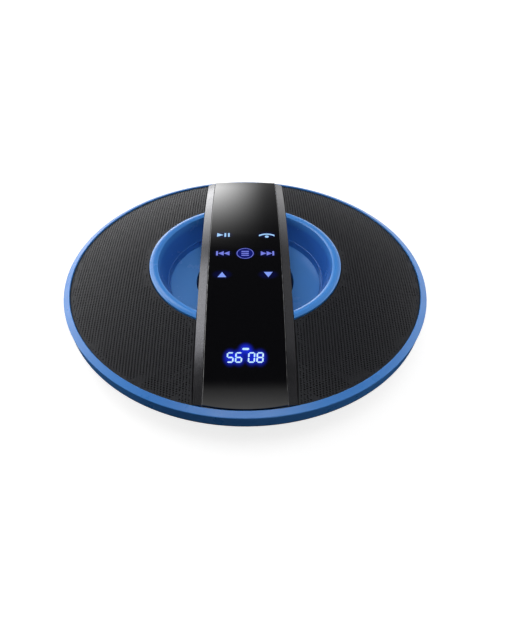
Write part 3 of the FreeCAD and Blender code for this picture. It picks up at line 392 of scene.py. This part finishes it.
def dome_height(inner, outer):
    """Height of the dome at a radius: one arc between its two edges, each (radius, height)."""
    start, end = Vector(inner), Vector(outer)
    chord = end - start
    half = chord.length / 2
    up = Vector((-chord.y, chord.x)).normalized()
    centre = (start + end) / 2 - up * math.sqrt(GRILLE_CURVE ** 2 - half ** 2)
    return lambda radius: centre.y + math.sqrt(GRILLE_CURVE ** 2 - (radius - centre.x) ** 2)


def sector_outline(inner, outer, near):
    """Plan of one grille, counter-clockwise, for the right-hand side."""
    def arc(radius, turn, count):
        limit = math.acos(near / radius)
        return [(radius * math.cos(a), radius * math.sin(a))
                for a in (turn * limit * (2 * i / count - 1) for i in range(count + 1))]
    return arc(outer, 1, 240) + arc(inner, -1, 120)


class PlanPoints:
    """Points of the sheet's plan, each kept once."""

    def __init__(self):
        self.points = []
        self.numbers = {}

    def add(self, x, y):
        key = (round(x / WELD), round(y / WELD))
        if key not in self.numbers:
            self.numbers[key] = len(self.points)
            self.points.append((x, y))
        return self.numbers[key]


def hexagon(centre, across, along):
    """Six corners round a centre, the first towards +X."""
    turns = (math.radians(60 * k) for k in range(6))
    return [(centre[0] + across * math.cos(a), centre[1] + along * math.sin(a)) for a in turns]


def stagger(column):
    return HOLE_PITCH / 2 if column % 2 else 0


def whole_cells(near, inner, outer):
    """Staggered six-sided cells that lie wholly on the sheet: centres by column and row."""
    def on_sheet(x, y):
        reach = math.hypot(x, y)
        return x > near + EDGE_MARGIN and inner + EDGE_MARGIN < reach < outer - EDGE_MARGIN

    cells = {}
    rows = int(outer / HOLE_PITCH) + 1
    for column in range(int(outer / COLUMN_STEP) + 1):
        for row in range(-rows, rows + 1):
            centre = (near + column * COLUMN_STEP, row * HOLE_PITCH + stagger(column))
            if all(on_sheet(*corner) for corner in hexagon(centre, CELL_ACROSS, CELL_ALONG)):
                cells[column, row] = centre
    return cells


def holed_faces(plan, cells):
    """Six faces round the hole of each cell, and the edges where the cells end."""
    faces, uses = [], {}
    for centre in cells.values():
        cell = [plan.add(*corner) for corner in hexagon(centre, CELL_ACROSS, CELL_ALONG)]
        hole = [plan.add(*corner) for corner in hexagon(centre, HOLE_ACROSS, HOLE_ALONG)]
        for k in range(6):
            following = (k + 1) % 6
            faces.append((cell[k], cell[following], hole[following], hole[k]))
            edge = frozenset((cell[k], cell[following]))
            uses[edge] = uses.get(edge, 0) + 1
    return faces, [tuple(edge) for edge, count in uses.items() if count == 1]


def in_cell(x, y, near, cells):
    """Whether a plan point lies in one of the cells."""
    middle_column = round((x - near) / COLUMN_STEP)
    for column in range(middle_column - 1, middle_column + 2):
        middle_row = round((y - stagger(column)) / HOLE_PITCH)
        for row in range(middle_row - 1, middle_row + 2):
            if (column, row) in cells:
                centre = cells[column, row]
                dx, dy = (x - centre[0]) / ROW_STRETCH, y - centre[1]
                reach = max(abs(dx * math.cos(a) + dy * math.sin(a)) for a in CELL_FLATS)
                if reach < HOLE_PITCH / 2 - 1e-6:
                    return True
    return False


def edge_faces(plan, cells, cells_end, near, inner, outer):
    """Plain triangles from the last cells out to the sheet's outline."""
    outline = [plan.add(x, y) for x, y in sector_outline(inner, outer, near)]
    sides = [(outline[i - 1], outline[i]) for i in range(len(outline))
             if outline[i - 1] != outline[i]]
    used = sorted({v for edge in cells_end for v in edge} | set(outline))
    local = {v: i for i, v in enumerate(used)}
    made = delaunay_2d_cdt([Vector(plan.points[v]) for v in used],
                           [(local[a], local[b]) for a, b in cells_end + sides], [], 0, 1e-7)
    origin = made[3]
    faces = []
    for face in made[2]:
        corners = [used[origin[i][0]] for i in face]
        x = sum(plan.points[v][0] for v in corners) / 3
        y = sum(plan.points[v][1] for v in corners) / 3
        on_sheet = x > near and inner < math.hypot(x, y) < outer
        if on_sheet and not in_cell(x, y, near, cells):
            faces.append(tuple(corners))
    return faces


def perforated_grille(name):
    """A domed sheet with staggered columns of small six-sided holes, plain along its edges."""
    low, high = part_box(name)
    side = 1 if high.x > 0 else -1
    near = min(abs(low.x), abs(high.x))
    outer = max(abs(low.x), abs(high.x))
    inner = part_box("bowl")[1].x + JOINT
    height = dome_height((inner, high.z), (outer, low.z + GRILLE_THICK))
    plan = PlanPoints()
    cells = whole_cells(near, inner, outer)
    faces, cells_end = holed_faces(plan, cells)
    faces += edge_faces(plan, cells, cells_end, near, inner, outer)

    mesh = bpy.data.meshes.new(name + "_perforated")
    coordinates = [(side * x, y, height(math.hypot(x, y))) for x, y in plan.points]
    mesh.from_pydata(coordinates, [], [f if side > 0 else f[::-1] for f in faces])
    tidy = bmesh.new()
    tidy.from_mesh(mesh)
    bmesh.ops.recalc_face_normals(tidy, faces=tidy.faces)
    if sum(f.normal.z for f in tidy.faces) < 0:
        bmesh.ops.reverse_faces(tidy, faces=tidy.faces)
    loose = [v for v in tidy.verts if not v.link_faces]
    bmesh.ops.delete(tidy, geom=loose, context="VERTS")
    tidy.to_mesh(mesh)
    tidy.free()
    mesh.materials.append(GRILLE)
    piece = bpy.data.objects.new(name + "_perforated", mesh)
    bpy.context.scene.collection.objects.link(piece)
    thickness = piece.modifiers.new("thickness", "SOLIDIFY")
    thickness.thickness = GRILLE_THICK
    thickness.offset = -1
    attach(piece, "root")
    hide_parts(name)
    return piece


# ---------------------------------------------------------------- stage
FLOOR_REACH = 6.0
FLOOR_GLOW = 0.78
BACKDROP_RADIUS = 5.9
BACKDROP_HEIGHT = 9.0
BACKDROP_SIDES = 48
HORIZON_LEVEL = 0.4
LEFT_LEVEL = 3.0
RIGHT_LEVEL = 0.7
OVERHEAD_LEVEL = 2.3
FRONT_LEVEL = 0.35
BASE_LEVEL = 0.01
# Each softbox: level, direction, and the angles in degrees where it is full and where it ends.
SOFTBOXES = (
    (2.4, (-0.42, 0.58, 0.70), 9, 18),
    (0.25, (0.42, 0.58, 0.70), 9, 18),
    (0.6, (0, -0.4, 0.92), 14, 26),
    (0.15, (-0.85, -0.1, 0.5), 18, 37),
    (0.3, (0.85, -0.1, 0.5), 18, 37),
    (2.8, (-0.85, 0.35, 0.3), 14, 30),
    (1.3, (0.85, 0.35, 0.3), 14, 30),
)


def window(g, source, start, full, full_end, end):
    """Smooth trapezoid: 0 before start, 1 from full to full_end, 0 again after end."""
    rise = g.add("ShaderNodeMapRange", {"Value": source, "From Min": start, "From Max": full},
                 interpolation_type="SMOOTHSTEP").outputs["Result"]
    fall = g.add("ShaderNodeMapRange", {"Value": source, "From Min": full_end, "From Max": end,
                                        "To Min": 1.0, "To Max": 0.0},
                 interpolation_type="SMOOTHSTEP").outputs["Result"]
    return g.math("MULTIPLY", rise, fall)


def product(g, first, *others):
    for other in others:
        first = g.math("MULTIPLY", first, other)
    return first


def softbox(g, direction, axis, full, end):
    """A round patch of sky about an axis: full inside one angle, gone at another (degrees)."""
    axis = tuple(Vector(axis).normalized())
    near = g.vector("DOT_PRODUCT", direction, axis, output="Value")
    return window(g, near, math.cos(math.radians(end)), math.cos(math.radians(full)), 2, 3)


def floor():
    """Pale seamless floor that glows by itself, so it stays white in a dim sky."""
    mesh = bpy.data.meshes.new("floor")
    signs = ((-1, -1), (1, -1), (1, 1), (-1, 1))
    corners = [(x * FLOOR_REACH, y * FLOOR_REACH, 0) for x, y in signs]
    mesh.from_pydata(corners, [], [(0, 1, 2, 3)])
    item = bpy.data.objects.new("floor", mesh)
    bpy.context.scene.collection.objects.link(item)
    g = Graph("floor_white")
    g.set(base_color=rgb(0.5, 0.5, 0.5), roughness=0.9, emission_color=rgb(1, 1, 1),
          emission_strength=FLOOR_GLOW)
    mesh.materials.append(g.material)
    item.visible_diffuse = False
    item.visible_glossy = False


def backdrop():
    """Plain white wall round the floor. It lights nothing and shades nothing."""
    turns = [2 * math.pi * i / BACKDROP_SIDES for i in range(BACKDROP_SIDES)]
    ring = [(BACKDROP_RADIUS * math.cos(a), BACKDROP_RADIUS * math.sin(a)) for a in turns]
    walls = []
    for i in range(BACKDROP_SIDES):
        following = (i + 1) % BACKDROP_SIDES
        walls.append((i, following, BACKDROP_SIDES + following, BACKDROP_SIDES + i))
    mesh = bpy.data.meshes.new("backdrop")
    mesh.from_pydata([(x, y, z) for z in (-0.01, BACKDROP_HEIGHT) for x, y in ring], [], walls)
    item = bpy.data.objects.new("backdrop", mesh)
    bpy.context.scene.collection.objects.link(item)
    g = Graph("backdrop_white")
    g.set(base_color=rgb(0.0, 0.0, 0.0), roughness=1.0, emission_color=rgb(1, 1, 1),
          emission_strength=1.0)
    mesh.materials.append(g.material)
    item.visible_diffuse = False
    item.visible_glossy = False
    item.visible_transmission = False
    item.visible_shadow = False


def studio():
    """Studio sky: bands of light behind and above, round softboxes and a low fill in front."""
    world = bpy.data.worlds.new("studio")
    bpy.context.scene.world = world
    world.use_nodes = True
    g = Graph.of_tree(world.node_tree)
    g.nodes.clear()
    direction = g.add("ShaderNodeTexCoord").outputs["Generated"]
    x, y, z = g.add("ShaderNodeSeparateXYZ", {0: direction}).outputs
    back = window(g, y, -0.3, 0.3, 2, 3)
    horizon = product(g, window(g, z, -0.6, -0.3, 0.0, 0.75), back)
    gap = g.span(window(g, x, -0.03, 0.06, 0.12, 0.25), 1.0, 0.25)
    centre = product(g, window(g, x, -0.12, -0.05, 0.12, 0.3), window(g, z, 0.3, 0.7, 2, 3), back)
    dark_centre = g.span(centre, 1.0, 0.05)
    left = product(g, window(g, x, -0.9, -0.4, -0.08, 0.035),
                   window(g, z, -0.14, 0.04, 0.08, 0.6), back)
    right = product(g, window(g, x, 0.08, 0.22, 0.6, 0.9), window(g, z, -0.5, -0.1, 0.1, 0.6), back)
    overhead = product(g, window(g, x, -0.4, -0.2, 0.2, 0.4), window(g, y, -0.5, -0.25, 0.0, 0.21),
                       window(g, z, 0.2, 0.5, 2, 3))
    lights = [(HORIZON_LEVEL, product(g, horizon, gap, dark_centre)), (LEFT_LEVEL, left),
              (RIGHT_LEVEL, right), (OVERHEAD_LEVEL, overhead)]
    for level, axis, full, end in SOFTBOXES:
        lights.append((level, softbox(g, direction, axis, full, end)))
    front = product(g, window(g, y, -2, -1.5, -0.4, 0.1), window(g, z, -0.3, 0.0, 0.1, 0.6),
                    window(g, x, -0.5, 0.3, 2, 3))
    lights.append((FRONT_LEVEL, front))
    total = BASE_LEVEL
    for level, source in lights:
        total = g.math("ADD", total, g.math("MULTIPLY", source, level))
    sky = g.add("ShaderNodeBackground", {"Color": rgb(1, 1, 1), "Strength": total})
    g.add("ShaderNodeOutputWorld", {"Surface": sky.outputs[0]})


def camera():
    """Perspective view from the front, looking down about 43 degrees."""
    aim_height = 29 * MM
    pitch = math.radians(43.35)
    distance = 418 * MM
    lift = 27.8 * MM
    data = bpy.data.cameras.new("camera")
    data.sensor_width = 36
    data.lens = 36.6
    data.shift_x = 0.024
    item = bpy.data.objects.new("camera", data)
    forward = Vector((0, math.cos(pitch), -math.sin(pitch)))
    upward = Vector((0, math.sin(pitch), math.cos(pitch)))
    item.location = Vector((0, 0, aim_height)) - forward * distance - upward * lift
    item.rotation_euler = (math.pi / 2 - pitch, 0, 0)
    bpy.context.scene.collection.objects.link(item)
    bpy.context.scene.camera = item


dress_nodes()
for grille in ("left_grille", "right_grille"):
    perforated_grille(grille)
floor()
backdrop()
studio()
camera()
bpy.context.scene.view_settings.view_transform = "Standard"
